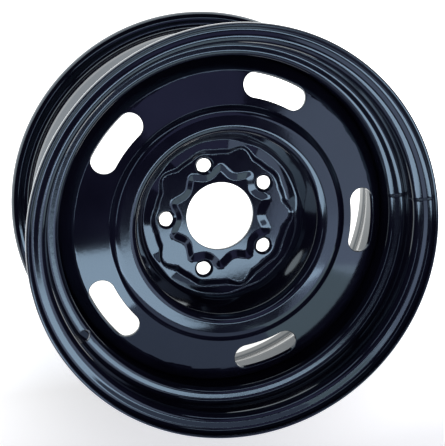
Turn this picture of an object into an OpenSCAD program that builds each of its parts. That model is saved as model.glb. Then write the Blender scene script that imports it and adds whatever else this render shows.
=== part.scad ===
// Pressed steel wheel rim, 15 inch, five studs, five ventilation slots.
// Millimetres. Axle axis on Z, origin at the hub bore on the mounting face,
// outboard face up. Two pressings, the rolled rim hoop and the centre disc,
// joined by short fillet welds.

/* [Mounting] */
// Diameter of the centre bore
bore_d = 71.5; // [56:0.1:74]
// Diameter of the stud circle
stud_pcd = 114.3; // [108:0.1:120.7]
// Diameter of the stud holes
stud_hole_d = 15; // [12:0.5:16]
// Height of the plain land below the conical nut seats
seat_land = 1.2; // [0.5:0.1:2]

/* [Disc] */
// Sheet thickness of the disc
disc_t = 4; // [3:0.5:5]
// Radial width of the ventilation slots
slot_w = 26; // [16:1:27]
// Angle that each ventilation slot spans, end to end
slot_span = 27.2; // [18:0.2:40]
// Radius of the middle of the ventilation slots
slot_r = 144.3; // [142:0.1:145]
// Turn of the slots from the line midway between two studs
slot_turn = -1.5; // [-4:0.5:4]
// Height of the wave step between the bore ring and the stud ring
step_h = 3; // [1.5:0.5:3]

/* [Rim] */
// Sheet thickness of the rim hoop
rim_t = 3; // [2:0.5:3.5]
// Width between the bead faces of the two flanges
rim_w = 165; // [152:1:178]
// Diameter of the bead seats
seat_dia = 380.2; // [380:0.1:381]
// Height of the flanges above the bead seats
flange_h = 17.4; // [16:0.1:19]
// Diameter of the valve hole
valve_d = 11.5; // [10:0.5:12]

/* [Welds] */
// Angle that each fillet weld spans
weld_span = 40; // [20:1:60]
// Leg of the fillet welds
weld_leg = 4; // [2:0.5:4]

/* [Hidden] */
$fn = 180;
paint = [0.05, 0.05, 0.06];
z_front = 91;                       // height of the outboard flange crest
z_rear = z_front - rim_w - 20;      // height of the inboard flange crest
r_seat = seat_dia / 2;
r_crest = r_seat + flange_h;        // outer radius of the wheel
r_well = r_seat - 15.5;             // outer side of the drop centre
r_fit = r_well - rim_t;             // seat of the disc inside the hoop
z_flange = -8;                      // inboard end of the disc flange

function unit(v) = v / norm(v);
function turn(a) = a > 180 ? a - 360 : a < -180 ? a + 360 : a;
// Points of the arc that rounds corner q between p and s.
function corner(p, q, s, rad, n) =
    let (u = unit(p - q), w = unit(s - q), h = acos(max(-1, min(1, u * w))) / 2,
         d = rad / tan(h), c = q + unit(u + w) * rad / sin(h),
         a = q + u * d - c, b = q + w * d - c,
         a0 = atan2(a[1], a[0]), da = turn(atan2(b[1], b[0]) - a0))
    [for (i = [0 : n]) c + rad * [cos(a0 + da * i / n), sin(a0 + da * i / n)]];
// A path of [r, z, corner radius] with its corners rounded.
function rounded(m, n = 6) =
    [for (i = [0 : len(m) - 1])
        let (q = [m[i][0], m[i][1]])
        each (i == 0 || i == len(m) - 1 || m[i][2] == 0 ? [q]
            : corner([m[i-1][0], m[i-1][1]], q, [m[i+1][0], m[i+1][1]], m[i][2], n))];
// The path moved sideways by t, to its right.
function beside(p, t) =
    [for (i = [0 : len(p) - 1])
        let (a = p[max(i - 1, 0)], b = p[i], c = p[min(i + 1, len(p) - 1)],
             u = i == 0 ? unit(c - b) : unit(b - a),
             w = i == len(p) - 1 ? u : unit(c - b),
             n1 = [u[1], -u[0]], n2 = [w[1], -w[0]], m = unit(n1 + n2))
        b + m * t / (m * n1)];
function back(p) = [for (i = [len(p) - 1 : -1 : 0]) p[i]];

// Front face of the disc, from the bore outwards.
disc_path = rounded([
    [bore_d / 2 - 6, disc_t + step_h, 0],
    [75.5, disc_t + step_h, 6],
    [82, 10.6, 2.5],
    [94.2, 41.5, 8],
    [98.5, 48.2, 5],
    [116.2, 48.4, 5],
    [122.3, 43.6, 4],
    [157.8, 37.9, 8],
    [r_fit, 24, 9],
    [r_fit, z_flange, 0]]);

// Tyre side of the hoop, from the outboard lip to the inboard lip.
rim_path = rounded([
    [r_crest - 1.4, z_front + 4, 0],
    [r_crest, z_front + 1.5, 5],
    [r_crest, z_front - 10, 9],
    [r_seat, z_front - 10, 6.5],
    [r_seat - 1.5, z_front - 27, 0],
    [r_seat - 0.9, z_front - 30, 4],
    [r_seat - 1.1, z_front - 42.3, 8.2],
    [r_well, z_front - 44.6, 4.3],
    [r_well, z_flange - 12, 14],
    [r_seat - 2.2, z_rear + 36, 14],
    [r_seat - 0.9, z_rear + 31, 4],
    [r_seat - 1.5, z_rear + 27, 0],
    [r_seat, z_rear + 10, 6.5],
    [r_crest, z_rear + 10, 9],
    [r_crest, z_rear - 1.5, 5],
    [r_crest - 1.4, z_rear - 4, 0]]);

// Outline with ten soft lobes, used for the step around the bore.
module wave(r, amp) {
    polygon([for (a = [0 : 2 : 358]) (r + amp * cos(10 * (a - 18))) * [cos(a), sin(a)]]);
}

// One ventilation slot along the circle, with round ends.
module slot_cut(a) {
    e = slot_span / 2 - asin(slot_w / 2 / slot_r);
    q = slot_w / 2;
    translate([0, 0, 10]) linear_extrude(height = 60)
        polygon(concat(
            [for (i = [0 : 6]) (slot_r + q) * [cos(a - e + e * i / 3), sin(a - e + e * i / 3)]],
            [for (i = [1 : 11]) slot_r * [cos(a + e), sin(a + e)]
                + q * [cos(a + e + 15 * i), sin(a + e + 15 * i)]],
            [for (i = [0 : 6]) (slot_r - q) * [cos(a + e - e * i / 3), sin(a + e - e * i / 3)]],
            [for (i = [1 : 11]) slot_r * [cos(a - e), sin(a - e)]
                + q * [cos(a - e + 180 + 15 * i), sin(a - e + 180 + 15 * i)]]));
}

// The rolled hoop with its two flanges, drop centre and valve hole.
module rim() {
    color(paint)
    difference() {
        rotate_extrude() polygon(concat(rim_path, back(beside(rim_path, rim_t))));
        rotate([0, 0, 216 + slot_turn])
            translate([r_seat - 9.7, 0, z_front - 42.1])
                rotate([0, 171, 0])
                    translate([0, 0, -12]) cylinder(d = valve_d, h = 24);
    }
}

// The pressed centre with bore, stud holes, wave step and slots.
module disc() {
    color(paint)
    difference() {
        union() {
            rotate_extrude() polygon(concat(disc_path, back(beside(disc_path, disc_t))));
            linear_extrude(height = disc_t + step_h / 2) wave(50, 4.2);
        }
        translate([0, 0, disc_t]) linear_extrude(height = 20) wave(46, 4.2);
        translate([0, 0, -1]) cylinder(d = bore_d, h = 60);
        for (k = [0 : 4]) rotate([0, 0, 36 + 72 * k]) translate([stud_pcd / 2, 0, 0]) {
            translate([0, 0, -1]) cylinder(d = stud_hole_d, h = 20);
            translate([0, 0, step_h + seat_land])
                cylinder(d1 = stud_hole_d, d2 = stud_hole_d + 12 * tan(30), h = 6);
        }
        for (k = [0 : 4]) slot_cut(72 * k + slot_turn);
    }
}

// Short fillet welds behind the disc flange, one between each pair of slots.
module welds() {
    color(paint)
    for (k = [0 : 4]) rotate([0, 0, 36 + 72 * k + slot_turn - weld_span / 2])
        rotate_extrude(angle = weld_span)
            polygon([[r_fit, z_flange], [r_fit, z_flange - weld_leg],
                     [r_fit - weld_leg * 0.72, z_flange - weld_leg * 0.72],
                     [r_fit - weld_leg, z_flange]]);
}

rim();
disc();
welds();
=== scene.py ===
import math

import bpy
import numpy as np
from mathutils import Matrix, Vector


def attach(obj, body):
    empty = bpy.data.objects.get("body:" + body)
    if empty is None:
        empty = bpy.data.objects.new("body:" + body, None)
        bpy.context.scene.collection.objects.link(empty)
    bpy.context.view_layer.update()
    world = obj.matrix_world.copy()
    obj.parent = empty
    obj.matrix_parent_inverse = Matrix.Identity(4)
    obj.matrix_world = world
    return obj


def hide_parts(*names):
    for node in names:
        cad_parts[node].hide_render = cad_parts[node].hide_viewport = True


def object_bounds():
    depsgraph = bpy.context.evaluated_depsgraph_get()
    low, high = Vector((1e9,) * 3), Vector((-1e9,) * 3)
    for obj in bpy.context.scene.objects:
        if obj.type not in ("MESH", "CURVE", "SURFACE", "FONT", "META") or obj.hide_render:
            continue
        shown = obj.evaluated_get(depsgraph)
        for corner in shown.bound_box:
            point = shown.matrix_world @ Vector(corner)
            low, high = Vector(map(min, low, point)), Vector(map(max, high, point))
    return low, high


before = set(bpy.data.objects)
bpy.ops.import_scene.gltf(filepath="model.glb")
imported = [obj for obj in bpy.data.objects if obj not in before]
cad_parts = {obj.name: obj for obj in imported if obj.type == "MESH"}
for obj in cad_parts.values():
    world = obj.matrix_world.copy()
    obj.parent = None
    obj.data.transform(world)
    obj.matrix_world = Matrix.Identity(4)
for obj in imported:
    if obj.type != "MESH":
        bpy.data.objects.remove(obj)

CAD_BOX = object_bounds()
MM = 0.001

# ---------------------------------------------------------------- dimensions
# Millimetres, axle axis on Z, origin at the hub bore on the mounting face.
BORE_R = 35.75
STUD_R = 57.15
HOLE_R = 7.5
SEAT_R = 9.8
DISC_T = 4.0
RIM_T = 3.0
STEP_H = 3.0
SLOT_R = 144.3
SLOT_W = 26.0
SLOT_SPAN = 27.2
SLOT_TURN = -1.5
SEAT = 190.1
CREST = SEAT + 17.4
WELL = SEAT - 15.5
FIT = WELL - RIM_T
ZF = 91.0
ZR = ZF - 185.0
Z_FLANGE = -8.0
SEAM = 7.3
VALVE = 216.0 + SLOT_TURN


# ------------------------------------------------------------------ sections
def unit(v):
    v = np.asarray(v, float)
    return v / np.linalg.norm(v, axis=-1, keepdims=True)


class Path:
    """A section line of [r, z, corner radius] with round corners, by length."""

    def __init__(self, m, step=8.0, line=9.0):
        pts, marks = [np.array(m[0][:2], float)], []
        length = 0.0
        knots = [0.0]

        def go(q):
            nonlocal length
            length += float(np.linalg.norm(q - pts[-1]))
            pts.append(q)

        for i in range(1, len(m)):
            q = np.array(m[i][:2], float)
            rad = m[i][2] if i < len(m) - 1 else 0
            if not rad:
                start, arc = q, []
            else:
                u = unit(np.array(m[i - 1][:2]) - q)
                w = unit(np.array(m[i + 1][:2]) - q)
                h = math.acos(max(-1.0, min(1.0, float(u @ w)))) / 2
                d = rad / math.tan(h)
                c = q + unit(u + w) * rad / math.sin(h)
                start = q + u * d
                end = q + w * d
                a0 = math.atan2(*(start - c)[::-1])
                da = math.atan2(*(end - c)[::-1]) - a0
                da = (da + math.pi) % (2 * math.pi) - math.pi
                n = max(24, int(abs(math.degrees(da))))
                arc = [c + rad * np.array([math.cos(a0 + da * k / n), math.sin(a0 + da * k / n)]) for k in range(1, n + 1)]
            s0 = length
            go(start)
            n = max(1, int(math.ceil((length - s0) / line)))
            knots += [s0 + (length - s0) * k / n for k in range(1, n + 1)]
            if arc:
                s0 = length
                for q in arc:
                    go(q)
                n = max(3, int(math.ceil(abs(math.degrees(da)) / step)))
                knots += [s0 + (length - s0) * k / n for k in range(1, n + 1)]
        p = np.array(pts)
        s = np.concatenate([[0], np.cumsum(np.linalg.norm(np.diff(p, axis=0), axis=1))])
        keep = np.concatenate([[True], np.diff(s) > 1e-9])
        self.s, self.p, self.length = s[keep], p[keep], float(s[-1])
        k = np.array(knots)
        self.knots = k[np.concatenate([[True], np.diff(k) > 1e-6])]

    def at(self, s):
        return np.interp(s, self.s, self.p[:, 0]), np.interp(s, self.s, self.p[:, 1])

    def s_of_r(self, r, lo, hi):
        """Length at radius r on the stretch between lo and hi, where r only grows or only falls."""
        k = (self.s > lo) & (self.s < hi)
        ss = np.concatenate([[lo], self.s[k], [hi]])
        rr = self.at(ss)[0]
        if rr[0] > rr[-1]:
            rr, ss = rr[::-1], ss[::-1]
        return np.interp(r, rr, ss)

    def between(self, lo, hi):
        """The knots from lo to hi, both ends included."""
        k = self.knots[(self.knots > lo + 0.25) & (self.knots < hi - 0.25)]
        return np.concatenate([[lo], k, [hi]])


def normals(f, s, a, hs=0.04, ha=1e-4):
    """Unit normals of the surface f(s, angle), by small differences."""
    ds = f(s + hs, a) - f(s - hs, a)
    da = f(s, a + ha) - f(s, a - ha)
    return unit(np.cross(ds, da))


# ---------------------------------------------------------------- mesh maker
class Skin:
    """Collects patches with their own normals and joins them where they meet."""

    def __init__(self):
        self.v, self.n, self.f, self.count = [], [], [], 0

    def grid(self, v, n, wrap=False, flip=False):
        rows, cols = v.shape[:2]
        idx = np.arange(rows * cols).reshape(rows, cols) + self.count
        self.v.append(v.reshape(-1, 3))
        self.n.append(n.reshape(-1, 3))
        self.count += rows * cols
        nxt = np.roll(idx, -1, axis=1) if wrap else idx[:, 1:]
        cur = idx if wrap else idx[:, :-1]
        q = np.stack([cur[:-1], cur[1:], nxt[1:], nxt[:-1]], -1).reshape(-1, 4)
        self.f.append(q[:, ::-1] if flip else q)

    def build(self, name, material, body="root"):
        v, n, f = np.concatenate(self.v), np.concatenate(self.n), np.concatenate(self.f)
        _, first, inv = np.unique(np.round(v * 2000).astype(np.int64), axis=0, return_index=True, return_inverse=True)
        f = inv.reshape(-1)[f]
        v, n = v[first], n[first]
        faces = []
        for q in f.tolist():
            r = [x for k, x in enumerate(q) if x != q[k - 1]]
            if len(r) >= 3 and len(set(r)) == len(r):
                faces.append(r)
        me = bpy.data.meshes.new(name)
        me.from_pydata((v * MM).tolist(), [], faces)
        me.update()
        me.polygons.foreach_set("use_smooth", [True] * len(me.polygons))
        me.normals_split_custom_set_from_vertices(n.tolist())
        me.materials.append(material)
        ob = bpy.data.objects.new(name, me)
        bpy.context.scene.collection.objects.link(ob)
        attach(ob, body)
        return ob


def sweep(base, nrm, edge, section):
    """Points and normals of an edge: base moved by a section of (towards the edge, along the normal)."""
    k = section.knots
    e, z = section.at(k)
    h = 0.004
    e1, z1 = section.at(np.clip(k + h, 0, section.length))
    e0, z0 = section.at(np.clip(k - h, 0, section.length))
    t = unit(np.stack([e1 - e0, z1 - z0], -1))
    v = base[None] + e[:, None, None] * edge[None] + z[:, None, None] * nrm[None]
    n = unit(-t[:, 1][:, None, None] * edge[None] + t[:, 0][:, None, None] * nrm[None])
    return v, n


def inward(base, nrm, centre):
    """Unit directions in the surface from a closed outline towards its middle."""
    t = unit(np.roll(base, -1, axis=0) - np.roll(base, 1, axis=0))
    e = unit(np.cross(t, nrm))
    sign = np.sign(np.sum(e * (centre - base), axis=-1, keepdims=True))
    return e * sign


# --------------------------------------------------------------------- looks
def paint_material():
    """Gloss black baked paint on pressed steel: soft orange peel, faint dust and a faint patchy shift in tone and
    gloss.
    """
    m = bpy.data.materials.new("gloss_black_paint")
    m.use_nodes = True
    nt = m.node_tree
    nt.nodes.clear()
    N = nt.nodes.new
    L = nt.links.new
    out = N("ShaderNodeOutputMaterial")
    bs = N("ShaderNodeBsdfPrincipled")
    tc = N("ShaderNodeTexCoord")

    big = N("ShaderNodeTexNoise")
    big.inputs["Scale"].default_value = 22.0
    big.inputs["Detail"].default_value = 3.0
    fine = N("ShaderNodeTexNoise")
    fine.inputs["Scale"].default_value = 900.0
    fine.inputs["Detail"].default_value = 2.0
    speck = N("ShaderNodeTexVoronoi")
    speck.inputs["Scale"].default_value = 420.0
    for t in (big, fine, speck):
        L(tc.outputs["Object"], t.inputs["Vector"])

    # colour: black with a faint cool shift and sparse pale dust
    ramp = N("ShaderNodeValToRGB")
    ramp.color_ramp.elements[0].position = 0.3
    ramp.color_ramp.elements[0].color = (0.0022, 0.0020, 0.0050, 1)
    ramp.color_ramp.elements[1].position = 0.75
    ramp.color_ramp.elements[1].color = (0.0045, 0.0042, 0.0095, 1)
    L(big.outputs["Fac"], ramp.inputs["Fac"])
    dust = N("ShaderNodeMapRange")
    dust.inputs["From Min"].default_value = 0.05
    dust.inputs["From Max"].default_value = 0.02
    dust.inputs["To Min"].default_value = 0.0
    dust.inputs["To Max"].default_value = 0.35
    L(speck.outputs["Distance"], dust.inputs["Value"])
    mix = N("ShaderNodeMix")
    mix.data_type = "RGBA"
    mix.inputs["B"].default_value = (0.06, 0.06, 0.065, 1)
    L(dust.outputs["Result"], mix.inputs["Factor"])
    L(ramp.outputs["Color"], mix.inputs["A"])
    L(mix.outputs["Result"], bs.inputs["Base Color"])

    rough = N("ShaderNodeMapRange")
    rough.inputs["From Min"].default_value = 0.3
    rough.inputs["From Max"].default_value = 0.7
    rough.inputs["To Min"].default_value = 0.07
    rough.inputs["To Max"].default_value = 0.10
    L(big.outputs["Fac"], rough.inputs["Value"])
    L(rough.outputs["Result"], bs.inputs["Roughness"])

    peel = N("ShaderNodeTexNoise")
    peel.inputs["Scale"].default_value = 260.0
    peel.inputs["Detail"].default_value = 1.0
    L(tc.outputs["Object"], peel.inputs["Vector"])
    bump = N("ShaderNodeBump")
    bump.inputs["Strength"].default_value = 0.012
    bump.inputs["Distance"].default_value = 0.001
    L(peel.outputs["Fac"], bump.inputs["Height"])
    L(bump.outputs["Normal"], bs.inputs["Normal"])

    bs.inputs["IOR"].default_value = 1.55
    bs.inputs["Specular Tint"].default_value = (0.66, 0.84, 1.0, 1)
    L(bs.outputs["BSDF"], out.inputs["Surface"])
    return m


PAINT = paint_material()


# ---------------------------------------------------------------------- disc
disc_path = Path([
    [BORE_R, DISC_T + STEP_H, 0],
    [79.0, DISC_T + STEP_H, 0],
    [82.0, 10.0, 0],
    [87.02, 17.22, 0],
    [94.2, 41.5, 8],
    [98.5, 48.2, 9],
    [116.2, 48.4, 12],
    [122.3, 43.6, 4],
    [157.8, 37.9, 8],
    [FIT, 24.0, 9],
    [FIT, Z_FLANGE, 0]], step=9.0, line=9.0)


def smooth(u):
    u = np.clip(u, 0.0, 1.0)
    return u * u * (3 - 2 * u)


def ramp(u, f=0.2, g=0.2):
    """A straight rise from 0 to 1 with soft ends of length f and g."""
    u = np.clip(u, 0.0, 1.0)
    k = 2 - f - g
    return np.where(u < f, u * u / (f * k), np.where(u > 1 - g, 1 - (1 - u) ** 2 / (g * k), (2 * u - f) / k))


# upper edge of the step around the bore, a stretch of its ten waves
WAVE_A = np.radians(np.linspace(-32.0, 32.0, 193))
WAVE = (52.7 + 3.8 * np.cos(10 * WAVE_A))[:, None] * np.stack([np.cos(WAVE_A), np.sin(WAVE_A)], -1)


def inside_wave(r, a):
    """How far a point lies inside the upper edge of the wave step, 0 outside it."""
    b = a % math.radians(36) - math.radians(18)
    p = np.stack([r * np.cos(b), r * np.sin(b)], -1)
    near = np.full(r.shape, 1e9)
    for q, e in zip(WAVE[:-1], np.diff(WAVE, axis=0)):
        t = np.clip((p - q) @ e / (e @ e), 0.0, 1.0)
        near = np.minimum(near, np.sum((p - q - t[..., None] * e) ** 2, -1))
    return np.where(r < 52.7 + 3.8 * np.cos(10 * b), np.sqrt(near), 0.0)


def disc_front(s, a):
    """The outboard face of the disc at length s along its section and angle a."""
    r, z = disc_path.at(s)
    tail = s - disc_path.length
    z = np.where(tail > 0, z - tail, z)
    # the stud ring ends in five lobes, then a step runs up to a ledge that dips to the wall
    off = np.abs((np.degrees(a) + 36) % 72 - 36)
    k = 0.5 + 0.5 * np.cos(math.pi * np.clip(off / 14.0, 0, 1))
    ks = 0.5 + 0.5 * np.cos(math.pi * np.clip((36 - off) / 13.0, 0, 1))
    lo, hi = 66.3 + 8.0 * k + 2.4 * ks, 72.9 + 5.4 * k + 2.2 * ks
    low = DISC_T + STEP_H + (4.6 - 2.1 * k) * ramp((r - lo) / (hi - lo), 0.25, 0.25) - 0.16 * np.maximum(r - hi, 0.0)
    arc = 21.2 - np.sqrt(np.clip(196.0 - (np.clip(r, 82.0, 87.0) - 73.6) ** 2, 0.0, None))
    wall = np.where(r < 82, 9.99 + 0.75 * (r - 82), np.where(r < 87.02, arc, 17.22 + 3.376 * (r - 87.02)))
    z = np.where(r < 92, 0.3 * np.logaddexp(low / 0.3, np.minimum(wall, 60.0) / 0.3), z)
    # wave step around the bore: an even slope inside a wavy edge
    if np.any(r < 57):
        z = z - STEP_H * (1 - ramp(1 - inside_wave(r, a) / 9.2, 0.15, 0.3))
    return np.stack([r * np.cos(a), r * np.sin(a), z], -1)


def add_sheet(skin, f, s, a, t, wrap):
    """One patch of sheet, its front and its back t behind it."""
    v, n = f(s, a), normals(f, s, a)
    skin.grid(v, n, wrap=wrap)
    k = sorted(set(range(0, len(v), 2 if wrap else 1)) | {len(v) - 1})
    skin.grid((v - t * n)[k], -n[k], wrap=wrap, flip=True)
    return v, n


def ring(skin, f, t, knots, angles):
    s, a = np.meshgrid(knots, angles, indexing="ij")
    return add_sheet(skin, f, s, a, t, True)


def holed_sector(skin, f, t, rows, a_lo, cols, outline, section, to_s, da):
    """A sector of sheet around one hole. outline(n) gives n points (r, angle) round the hole,
    from the corner towards low s and low angle, anticlockwise in (angle, s)."""
    k_a = a_lo + da * np.arange(cols + 1)
    side = len(rows) - 1
    rim_pts = ([(rows[0], x) for x in k_a[:-1]] + [(x, k_a[-1]) for x in rows[:-1]]
               + [(rows[-1], x) for x in k_a[:0:-1]] + [(x, k_a[0]) for x in rows[:0:-1]])
    rim_pts = np.array(rim_pts)
    inner = outline(cols, side)
    inner = np.stack([to_s(inner[:, 0]), inner[:, 1]], -1)
    w = np.array([0, 0.03, 0.08, 0.16, 0.26, 0.38, 0.5, 0.62, 0.74, 0.87, 1.0])[:, None, None]
    g = (1 - w) * inner[None] + w * rim_pts[None]
    s, a = g[..., 0], g[..., 1]
    v, n = f(s, a), normals(f, s, a)
    skin.grid(v, n, wrap=True, flip=True)
    skin.grid((v - t * n)[::2], -n[::2], wrap=True)
    base, nrm = v[0], n[0]
    edge = inward(base, nrm, base.mean(0))
    ev, en = sweep(base, nrm, edge, section)
    skin.grid(ev, en, wrap=True)


def slot_outline(centre, extra):
    q = SLOT_W / 2 + extra
    e = math.radians(SLOT_SPAN / 2) - math.asin(SLOT_W / 2 / SLOT_R)

    def make(cols, side):
        # one dense outline, anticlockwise seen in (angle, r): low r side first
        low = [(SLOT_R - q, centre + x) for x in np.linspace(-e, e, 81)]
        hi = [(SLOT_R + q, centre + x) for x in np.linspace(e, -e, 81)]

        def cap(sign, a0):
            pts = []
            for x in np.linspace(0, 180, 61)[1:-1]:
                ph = math.radians(x)
                # from the low side round the end to the high side
                lr, lt = -math.cos(ph) * q, math.sin(ph) * q * sign
                x0, y0 = SLOT_R + lr, lt
                pts.append((math.hypot(x0, y0), a0 + math.atan2(y0, x0)))
            return pts

        right = cap(1, centre + e)
        left = cap(-1, centre - e)[::-1]
        p = np.array(low + right + hi + left)
        xy = np.stack([p[:, 0] * np.cos(p[:, 1]), p[:, 0] * np.sin(p[:, 1])], -1)
        d = np.linalg.norm(np.roll(xy, -1, axis=0) - xy, axis=1)
        s = np.concatenate([[0], np.cumsum(d)])
        total = s[-1]
        straight = float(np.linalg.norm(np.diff(xy[:81], axis=0), axis=1).sum())
        straight_hi = float(np.linalg.norm(np.diff(xy[81 + 59:81 + 59 + 81], axis=0), axis=1).sum())
        quarter = (total - straight - straight_hi) / 8
        marks = [-quarter, straight + quarter, straight + 3 * quarter, straight + 3 * quarter + straight_hi + 2 * quarter, total - quarter]
        pick = np.concatenate([
            np.linspace(marks[0], marks[1], cols + 1)[:-1], np.linspace(marks[1], marks[2], side + 1)[:-1],
            np.linspace(marks[2], marks[3], cols + 1)[:-1], np.linspace(marks[3], marks[4], side + 1)[:-1]]) % total
        pr = np.interp(pick, s, np.append(p[:, 0], p[0, 0]))
        pa = np.interp(pick, s, np.append(p[:, 1], p[0, 1]))
        return np.stack([pr, pa], -1)

    return make


def round_outline(r0, a0, rad):
    def make(cols, side):
        # corners of the sector fall on the four diagonals of the circle
        ph = np.concatenate([np.linspace(-135, -45, cols + 1)[:-1], np.linspace(-45, 45, side + 1)[:-1],
                             np.linspace(45, 135, cols + 1)[:-1], np.linspace(135, 225, side + 1)[:-1]])
        ph = np.radians(ph)
        x, y = r0 + rad * np.sin(ph), rad * np.cos(ph)
        return np.stack([np.hypot(x, y), a0 + np.arctan2(y, x)], -1)

    return make


def build_disc():
    sk = Skin()
    one = math.radians(1.0)
    ang = np.radians(np.arange(360) + SLOT_TURN)
    L = disc_path.length
    s_of = lambda r: float(disc_path.s_of_r(r, 0.0, float(disc_path.s[-2])))
    flat = lambda r: np.asarray(r) - BORE_R
    edge_r = 0.6
    # bore edge and the ring around it
    s0, s1, s2 = edge_r, flat(46.0), flat(72.0)
    v, n = ring(sk, disc_front, DISC_T, np.linspace(s0, s1, 13), ang)
    bore = Path([[0, 0, 0], [edge_r, 0, 0.55], [edge_r, -DISC_T, 0.4], [0, -DISC_T, 0]], step=30, line=9)
    e = np.stack([-np.cos(ang), -np.sin(ang), 0 * ang], -1)
    sv, sn = sweep(v[0], n[0], e, bore)
    sk.grid(sv, sn, wrap=True, flip=True)
    # stud ring
    lip = 0.8
    seat = Path([[0, 0, 0], [lip, 0, 0.7], [lip + SEAT_R - HOLE_R, -2.7, 0.5], [lip + SEAT_R - HOLE_R, -DISC_T, 0.3], [0, -DISC_T, 0]], step=30, line=9)
    rows = flat(np.array([46, 46.9, 47.8, 48.7, 49.6, 50.5, 51.4, 52.3, 53.2, 54.1, 55, 57.5, 60, 62.5, 65, 66.2, 67.4, 68.6, 69.8, 70.9, 72]))
    for k in range(5):
        a_lo = math.radians(72 * k + 36 - 14.5)
        holed_sector(sk, disc_front, DISC_T, rows, a_lo, 28,
                     round_outline(STUD_R, math.radians(36 + 72 * k), SEAT_R + lip), seat, flat, one)
        s, a = np.meshgrid(rows, a_lo + one * np.arange(28, 73), indexing="ij")
        add_sheet(sk, disc_front, s, a, DISC_T, False)
    # wall and crown
    s3 = s_of(125.6)
    wall = [s_of(x) for x in (73.2, 74.4, 75.6, 76.8, 77.8, 78.6, 79.2, 79.8, 80.4, 81.0, 81.6, 82.2, 82.8, 83.4, 84.2, 85.4, 87.0)]
    ring(sk, disc_front, DISC_T, np.concatenate([[s2], wall, disc_path.between(s_of(91.0), s3)]), ang)
    # slotted face
    s4 = s_of(162.8)
    lip = 0.7
    cut = Path([[0, 0, 0], [lip, 0, 0.65], [lip, -DISC_T, 0.4], [0, -DISC_T, 0]], step=30, line=9)
    face = lambda r: disc_path.s_of_r(r, s3 - 0.5, s4 + 1)
    for k in range(5):
        c = math.radians(72 * k + SLOT_TURN)
        holed_sector(sk, disc_front, DISC_T, np.linspace(s3, s4, 11), c - 36 * one, 72, slot_outline(c, lip), cut, face, one)
    # shoulder and flange
    s5 = L - 0.6
    v, n = ring(sk, disc_front, DISC_T, disc_path.between(s4, s5), ang)
    end = Path([[0, 0, 0], [0.6, 0, 0.5], [0.6, -DISC_T, 0.5], [0, -DISC_T, 0]], step=30, line=9)
    e = np.stack([0 * ang, 0 * ang, -1 + 0 * ang], -1)
    sv, sn = sweep(v[-1], n[-1], e, end)
    sk.grid(sv, sn, wrap=True)
    ob = sk.build("disc_pressing", PAINT)
    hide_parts("disc")
    return ob


# ----------------------------------------------------------------------- rim
rim_path = Path([
    [CREST - 1.4, ZF + 4, 0],
    [CREST, ZF + 1.5, 5],
    [CREST, ZF - 10, 9],
    [SEAT, ZF - 10, 6.5],
    [SEAT - 1.5, ZF - 27, 12],
    [SEAT - 0.9, ZF - 30, 4],
    [SEAT - 1.1, ZF - 42.3, 8.2],
    [WELL, ZF - 44.6, 4.3],
    [WELL, Z_FLANGE - 12, 14],
    [SEAT - 2.2, ZR + 36, 14],
    [SEAT - 0.9, ZR + 31, 4],
    [SEAT - 1.5, ZR + 27, 12],
    [SEAT, ZR + 10, 6.5],
    [CREST, ZR + 10, 9],
    [CREST, ZR - 1.5, 5],
    [CREST - 1.4, ZR - 4, 0]], step=9.0, line=12.0)


def rim_outer(s, a):
    r, z = rim_path.at(s)
    return np.stack([r * np.cos(a), r * np.sin(a), z], -1)


def rim_inner(s, a):
    """The axle side of the hoop, with the trimmed butt seam."""
    n = normals(rim_outer, s, a)
    d = np.degrees(a) - SEAM
    d = (d + 180) % 360 - 180
    _, z = rim_path.at(s)
    strong = np.exp(-((z - (ZF - 41)) / 8.0) ** 2) + np.exp(-((z - (ZF - 12)) / 4.5) ** 2)
    bump = strong * (0.42 * np.exp(-((d - 0.22) / 0.16) ** 2) - 0.5 * np.exp(-((d + 0.16) / 0.15) ** 2))
    return rim_outer(s, a) - n * (RIM_T + bump)[..., None]


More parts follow.
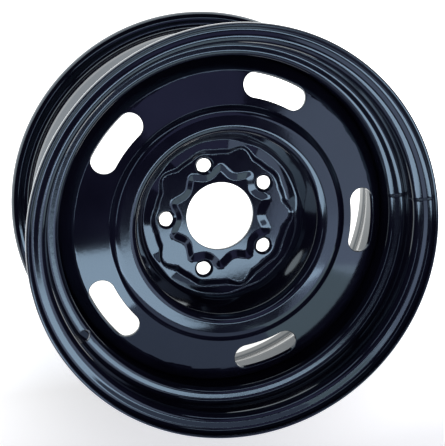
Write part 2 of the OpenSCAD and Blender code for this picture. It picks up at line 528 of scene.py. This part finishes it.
def build_rim():
    sk = Skin()
    one = math.radians(1.0)
    base = np.arange(360) + 0.5
    near = SEAM + np.array([-1.6, -1.1, -0.75, -0.5, -0.36, -0.26, -0.16, -0.06, 0.04, 0.13, 0.22, 0.31, 0.41, 0.55, 0.8, 1.1, 1.6])
    ang = np.radians(np.sort(np.concatenate([base[np.abs(base - SEAM) > 1.9], near])))
    L = rim_path.length
    s0, s1 = 1.35, L - 1.35

    # slope that holds the valve hole
    def s_at(r, z):
        k = np.argmin((rim_path.p[:, 0] - r) ** 2 + (rim_path.p[:, 1] - z) ** 2)
        return float(rim_path.s[k])

    mid_s = s_at(180.5, 47.4)
    sa, sb = mid_s - 9.0, mid_s + 7.5
    lo = np.radians(VALVE - 5)
    for k, kn in enumerate((rim_path.between(s0, sa), rim_path.between(sb, s1))):
        s, a = np.meshgrid(kn, ang, indexing="ij")
        sk.grid(rim_outer(s, a), normals(rim_outer, s, a), wrap=True)
        sk.grid(rim_inner(s, a), -normals(rim_inner, s, a), wrap=True, flip=True)
    # the slope itself, away from the hole
    side = 14
    kn = np.linspace(sa, sb, side + 1)
    i0 = int(np.argmin(np.abs(ang - lo)))
    rest = np.roll(ang, -(i0 + 10))[: len(ang) - 9]
    s, a = np.meshgrid(kn, rest, indexing="ij")
    sk.grid(rim_outer(s, a), normals(rim_outer, s, a))
    sk.grid(rim_inner(s, a), -normals(rim_inner, s, a), flip=True)
    # the sector with the hole
    lip, hole = 0.5, 5.9

    def outline(cols, side):
        ph = np.concatenate([np.linspace(-135, -45, cols + 1)[:-1], np.linspace(-45, 45, side + 1)[:-1],
                             np.linspace(45, 135, cols + 1)[:-1], np.linspace(135, 225, side + 1)[:-1]])
        ph = np.radians(ph)
        ds = (hole + lip) * np.sin(ph)
        r = rim_path.at(mid_s + ds)[0]
        return np.stack([mid_s + ds, np.radians(VALVE) + (hole + lip) * np.cos(ph) / r], -1)

    cut = Path([[0, 0, 0], [lip, 0, 0.4], [lip, -RIM_T, 0.4], [0, -RIM_T, 0]], step=30, line=9)
    holed_sector(sk, rim_outer, RIM_T, kn, lo, 10, outline, cut, lambda x: x, one)
    # lips
    v, n = rim_outer(np.full(len(ang), s0), ang), normals(rim_outer, np.full(len(ang), s0), ang)
    lipsec = Path([[0, 0, 0], [1.35, 0, 1.3], [1.35, -RIM_T, 1.3], [0, -RIM_T, 0]], step=18, line=9)
    t0 = unit(rim_outer(np.full(len(ang), s0), ang) - rim_outer(np.full(len(ang), s0 + 0.05), ang))
    sv, sn = sweep(v, n, t0, lipsec)
    sk.grid(sv, sn, wrap=True, flip=True)
    v, n = rim_outer(np.full(len(ang), s1), ang), normals(rim_outer, np.full(len(ang), s1), ang)
    t1 = unit(rim_outer(np.full(len(ang), s1), ang) - rim_outer(np.full(len(ang), s1 - 0.05), ang))
    sv, sn = sweep(v, n, t1, lipsec)
    sk.grid(sv, sn, wrap=True)
    ob = sk.build("rim_hoop", PAINT)
    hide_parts("rim")
    return ob


# --------------------------------------------------------------------- welds
def build_welds():
    sk = Skin()
    leg = 4.0
    for k in range(5):
        c = math.radians(36 + 72 * k + SLOT_TURN)
        half = math.radians(20)
        u = np.linspace(-1, 1, 161)
        a = c + half * u
        run = np.clip((1 - np.abs(u)) / 0.05, 0, 1)
        full = np.sqrt(np.clip(1 - (1 - run) ** 2, 0, 1))
        ripple = 1 + 0.05 * np.abs(np.sin(np.arange(161) * math.pi / 5)) + 0.03 * np.sin(u * 37 + k)
        prof = np.radians(np.linspace(0, 90, 9))
        rows, nrms = [], []
        for p in prof:
            q = leg * full * ripple
            r = FIT - q * np.sin(p) * 0.98
            z = Z_FLANGE - q * np.cos(p) * 0.98
            rows.append(np.stack([r * np.cos(a), r * np.sin(a), z], -1))
            nrms.append(np.stack([-np.sin(p) * np.cos(a), -np.sin(p) * np.sin(a), -np.cos(p) + 0 * a], -1))
        v, n = np.array(rows), np.array(nrms)
        corner = np.stack([FIT * np.cos(a), FIT * np.sin(a), Z_FLANGE + 0 * a], -1)
        sk.grid(v, n, flip=True)
        sk.grid(np.array([corner, v[0]]), np.array([n[0], n[0]]), flip=True)
        sk.grid(np.array([v[-1], corner]), np.array([n[-1], n[-1]]), flip=True)
    ob = sk.build("weld_beads", PAINT)
    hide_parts("welds")
    return ob


rim_ob = build_rim()
disc_ob = build_disc()
weld_ob = build_welds()

# --------------------------------------------------------------------- stage
FLOOR_Z = CAD_BOX[0].z


def floor_material():
    m = bpy.data.materials.new("studio_floor")
    m.use_nodes = True
    nt = m.node_tree
    nt.nodes.clear()
    out = nt.nodes.new("ShaderNodeOutputMaterial")
    bs = nt.nodes.new("ShaderNodeBsdfPrincipled")
    bs.inputs["Base Color"].default_value = (0.86, 0.86, 0.87, 1)
    bs.inputs["Roughness"].default_value = 0.7
    bs.inputs["Emission Color"].default_value = (1.0, 1.0, 0.97, 1)
    tc = nt.nodes.new("ShaderNodeTexCoord")
    split = nt.nodes.new("ShaderNodeSeparateXYZ")
    # painted light: the floor glows by itself, unevenly, from dim at y -0.32 to bright at y 0.12, brighter towards +Y
    painted_glow = nt.nodes.new("ShaderNodeMapRange")
    for name, value in (("From Min", -0.32), ("From Max", 0.12), ("To Min", 0.72), ("To Max", 2.3)):
        painted_glow.inputs[name].default_value = value
    nt.links.new(tc.outputs["Object"], split.inputs[0])
    nt.links.new(split.outputs["Y"], painted_glow.inputs["Value"])
    # painted shadow: a soft dark ring in the floor's glow on the near side (-Y), around the foot of the wheel
    away = nt.nodes.new("ShaderNodeVectorMath")
    away.operation = "LENGTH"
    nt.links.new(tc.outputs["Object"], away.inputs[0])
    painted_shadow_ring = nt.nodes.new("ShaderNodeValToRGB")
    painted_shadow_ring.color_ramp.interpolation = "EASE"
    marks = painted_shadow_ring.color_ramp.elements
    marks[0].position, marks[0].color = 0.185, (0, 0, 0, 1)
    marks[1].position, marks[1].color = 0.40, (0, 0, 0, 1)
    mid = marks.new(0.212)
    mid.color = (1, 1, 1, 1)
    nt.links.new(away.outputs["Value"], painted_shadow_ring.inputs["Fac"])
    # strength of the painted shadow: none at y 0, up to 0.45 from y -0.16 on
    side = nt.nodes.new("ShaderNodeMapRange")
    for name, value in (("From Min", 0.0), ("From Max", -0.16), ("To Min", 0.0), ("To Max", 0.45)):
        side.inputs[name].default_value = value
    nt.links.new(split.outputs["Y"], side.inputs["Value"])
    painted_shadow = nt.nodes.new("ShaderNodeMath")
    painted_shadow.operation = "MULTIPLY"
    nt.links.new(painted_shadow_ring.outputs["Color"], painted_shadow.inputs[0])
    nt.links.new(side.outputs["Result"], painted_shadow.inputs[1])
    rest = nt.nodes.new("ShaderNodeMath")
    rest.operation = "SUBTRACT"
    rest.inputs[0].default_value = 1.0
    nt.links.new(painted_shadow.outputs[0], rest.inputs[1])
    # the floor's painted glow, dimmed by the painted shadow ring
    power = nt.nodes.new("ShaderNodeMath")
    power.operation = "MULTIPLY"
    nt.links.new(painted_glow.outputs["Result"], power.inputs[0])
    nt.links.new(rest.outputs[0], power.inputs[1])
    nt.links.new(power.outputs[0], bs.inputs["Emission Strength"])
    nt.links.new(bs.outputs["BSDF"], out.inputs["Surface"])
    return m


def backdrop_material():
    m = bpy.data.materials.new("studio_backdrop")
    m.use_nodes = True
    bs = m.node_tree.nodes["Principled BSDF"]
    bs.inputs["Base Color"].default_value = (0.03, 0.03, 0.03, 1)
    bs.inputs["Roughness"].default_value = 1.0
    bs.inputs["Specular IOR Level"].default_value = 0.0
    bs.inputs["Emission Color"].default_value = (1.0, 1.0, 0.98, 1)
    bs.inputs["Emission Strength"].default_value = 0.6
    return m


me = bpy.data.meshes.new("floor")
S = 4.0
me.from_pydata([(-S, -S, 0), (S, -S, 0), (S, S, 0), (-S, S, 0)], [], [(0, 1, 2, 3)])
floor = bpy.data.objects.new("floor", me)
floor.location = (0, 0, FLOOR_Z - 0.0002)
me.materials.append(floor_material())
bpy.context.scene.collection.objects.link(floor)

# pale wall all round at the end of the floor, out of the paint's reflections
me = bpy.data.meshes.new("backdrop")
turn = [2 * math.pi * k / 96 for k in range(96)]
me.from_pydata([(3.9 * math.cos(t), 3.9 * math.sin(t), z) for z in (-0.01, 3.5) for t in turn], [],
               [(k, 96 + k, 96 + (k + 1) % 96, (k + 1) % 96) for k in range(96)])
backdrop = bpy.data.objects.new("backdrop", me)
backdrop.location = (0, 0, FLOOR_Z)
me.materials.append(backdrop_material())
backdrop.visible_glossy = backdrop.visible_diffuse = backdrop.visible_shadow = False
bpy.context.scene.collection.objects.link(backdrop)


def card(name, centre, ex, ey, size, radiance):
    """A soft light card: its edges run along ex and ey, and it shines along -(ex x ey)."""
    top = max(radiance)
    li = bpy.data.lights.new(name, "AREA")
    li.shape = "RECTANGLE"
    li.size, li.size_y = size
    li.energy = top * math.pi * size[0] * size[1]
    li.color = [x / top for x in radiance]
    ob = bpy.data.objects.new(name, li)
    x, y = Vector(ex).normalized(), Vector(ey).normalized()
    ob.matrix_world = Matrix.Translation(centre) @ Matrix((x, y, x.cross(y))).transposed().to_4x4()
    ob.visible_camera = False
    bpy.context.scene.collection.objects.link(ob)
    return ob


# a white table edge-on below the wheel (towards -Y), bright further out and dim near it,
# a soft wall to the right and a dim ceiling
U, V = Vector((-0.866, 0, -0.5)), Vector((0.5, 0, -0.866))
CORNER = Vector((0.12, -0.216, 0.92))
for name, u0, u1, v0, v1, part in (
        ("table_edge_1", 0.0, 0.75, -0.005, 0.015, 0.06), ("table_edge_2", 0.0, 0.75, 0.015, 0.030, 0.2),
        ("table_edge_3", 0.0, 0.75, 0.030, 0.045, 0.45), ("table_edge_4", 0.0, 0.75, 0.045, 0.060, 0.75),
        ("table_bright", 0.0, 0.75, 0.06, 0.36, 1.0), ("table_bright_near", 0.30, 0.75, 0.36, 0.42, 1.0)):
    card(name, CORNER + U * (u0 + u1) / 2 + V * (v0 + v1) / 2, -U, -V, (u1 - u0, v1 - v0),
         (6.4 * part, 7.1 * part, 7.8 * part))
card("table_near_left", (-0.20, -0.215, 0.15), (1, 0, 0), (0, 0, 1), (0.60, 0.30), (0.70, 0.75, 0.95))
card("table_near_right", (0.30, -0.215, 0.19), (1, 0, 0), (0, 0, 1), (0.40, 0.36), (1.47, 1.70, 1.72))
card("table_far_right", (0.42, -0.215, 0.66), (1, 0, 0), (0, 0, 1), (0.40, 0.58), (0.35, 0.38, 0.50))
card("right_wall", (0.79, -0.15, 1.185), (0, 1, 0), (-0.76, 0, 0.65), (0.90, 0.816), (1.56, 1.60, 1.96))
card("top_strip", (0.0, 0.72, 0.93), (1, 0, 0), (0, 0.79, -0.61), (1.3, 0.13), (2.6, 2.8, 3.3))
card("left_strip", (-0.70, 0.20, 1.00), (0, -1, 0), (0.82, 0, 0.57), (0.80, 0.11), (2.0, 2.2, 2.7))
card("ceiling", (0.175, 0.45, 1.6), (1, 0, 0), (0, 1, 0), (0.65, 0.90), (0.32, 0.28, 0.50))

world = bpy.data.worlds.new("world")
bpy.context.scene.world = world
world.use_nodes = True
bg = world.node_tree.nodes.get("Background") or world.node_tree.nodes.new("ShaderNodeBackground")
bg.inputs["Color"].default_value = (0.55, 0.50, 0.90, 1)
bg.inputs["Strength"].default_value = 0.04

# -------------------------------------------------------------------- camera
cam_data = bpy.data.cameras.new("camera")
cam_data.sensor_width = 36.0
cam = bpy.data.objects.new("camera", cam_data)
bpy.context.scene.collection.objects.link(cam)
bpy.context.scene.camera = cam
cam_data.lens = 94.537
cam_data.shift_x, cam_data.shift_y = -0.07103, -0.16399
CAM_X, CAM_Y, CAM_Z = (0.963377, 0.008388, 0.268019), (0.037927, 0.985200, -0.167160), (-0.265455, 0.171203, 0.948801)
CAM_POS = (-0.287809, 0.277805, 1.162443)
cam.matrix_world = Matrix.Translation(CAM_POS) @ Matrix((CAM_X, CAM_Y, CAM_Z)).transposed().to_4x4()
bpy.context.scene.view_settings.view_transform = "Standard"
